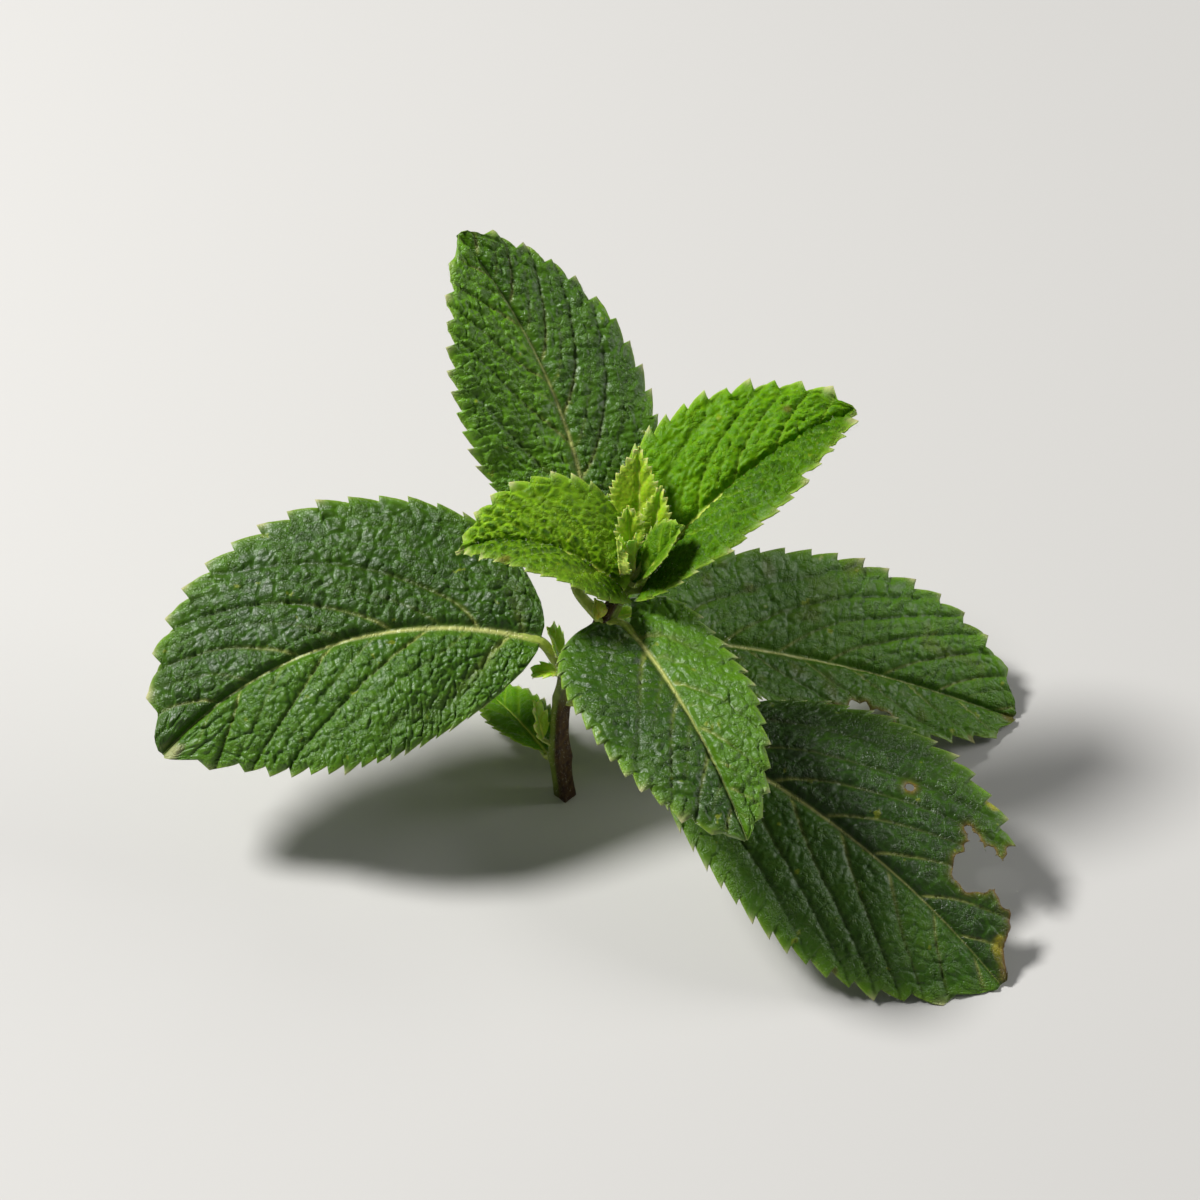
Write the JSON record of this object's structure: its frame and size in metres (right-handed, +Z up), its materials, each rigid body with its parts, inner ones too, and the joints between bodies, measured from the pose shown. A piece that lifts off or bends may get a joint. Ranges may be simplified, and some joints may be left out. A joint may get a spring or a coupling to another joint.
{
  "type": "peppermint sprig",
  "caption": "Cut peppermint sprig: square stem, opposite pairs of toothed oval leaves, a tuft of young leaves at the tip and small side shoots.",
  "frame": {"origin": "middle of the sprig's box, on the surface it stands on", "axes": "+Z up from the surface, +Y away from the viewer of the picture, +X to the viewer's right, along the longest extent"},
  "size_m": [0.1216, 0.0784, 0.0731],
  "materials": {
    "stem": "satin, finely hairy, green with a purple-brown side",
    "mature_leaf": "crumpled, dark green above and paler beneath, soft sheen",
    "fresh_leaf": "crumpled, bright green with a pale vein network",
    "young_leaf": "soft, yellow-green, slightly translucent"
  },
  "bodies": {
    "root": {"main_stem": "stem", "leaf_top_left": "fresh_leaf", "leaf_top_right": "fresh_leaf", "leaf_second_back": "mature_leaf", "leaf_second_front": "mature_leaf", "leaf_third_left": "mature_leaf", "leaf_third_right": "mature_leaf", "leaf_fourth_right": "mature_leaf", "leaf_lowest_left": "mature_leaf", "tip_leaf_back": "young_leaf", "tip_leaf_back_right": "young_leaf", "tip_leaf_right": "young_leaf", "tip_leaf_middle": "young_leaf", "tip_leaf_front_left": "young_leaf", "tip_leaf_front_right": "young_leaf", "shoot_second_left": "young_leaf", "shoot_second_right": "young_leaf", "shoot_third_upper": "young_leaf", "shoot_third_inner": "young_leaf", "shoot_third_lower": "young_leaf", "shoot_lowest": "young_leaf"}
  },
  "joints": []
}
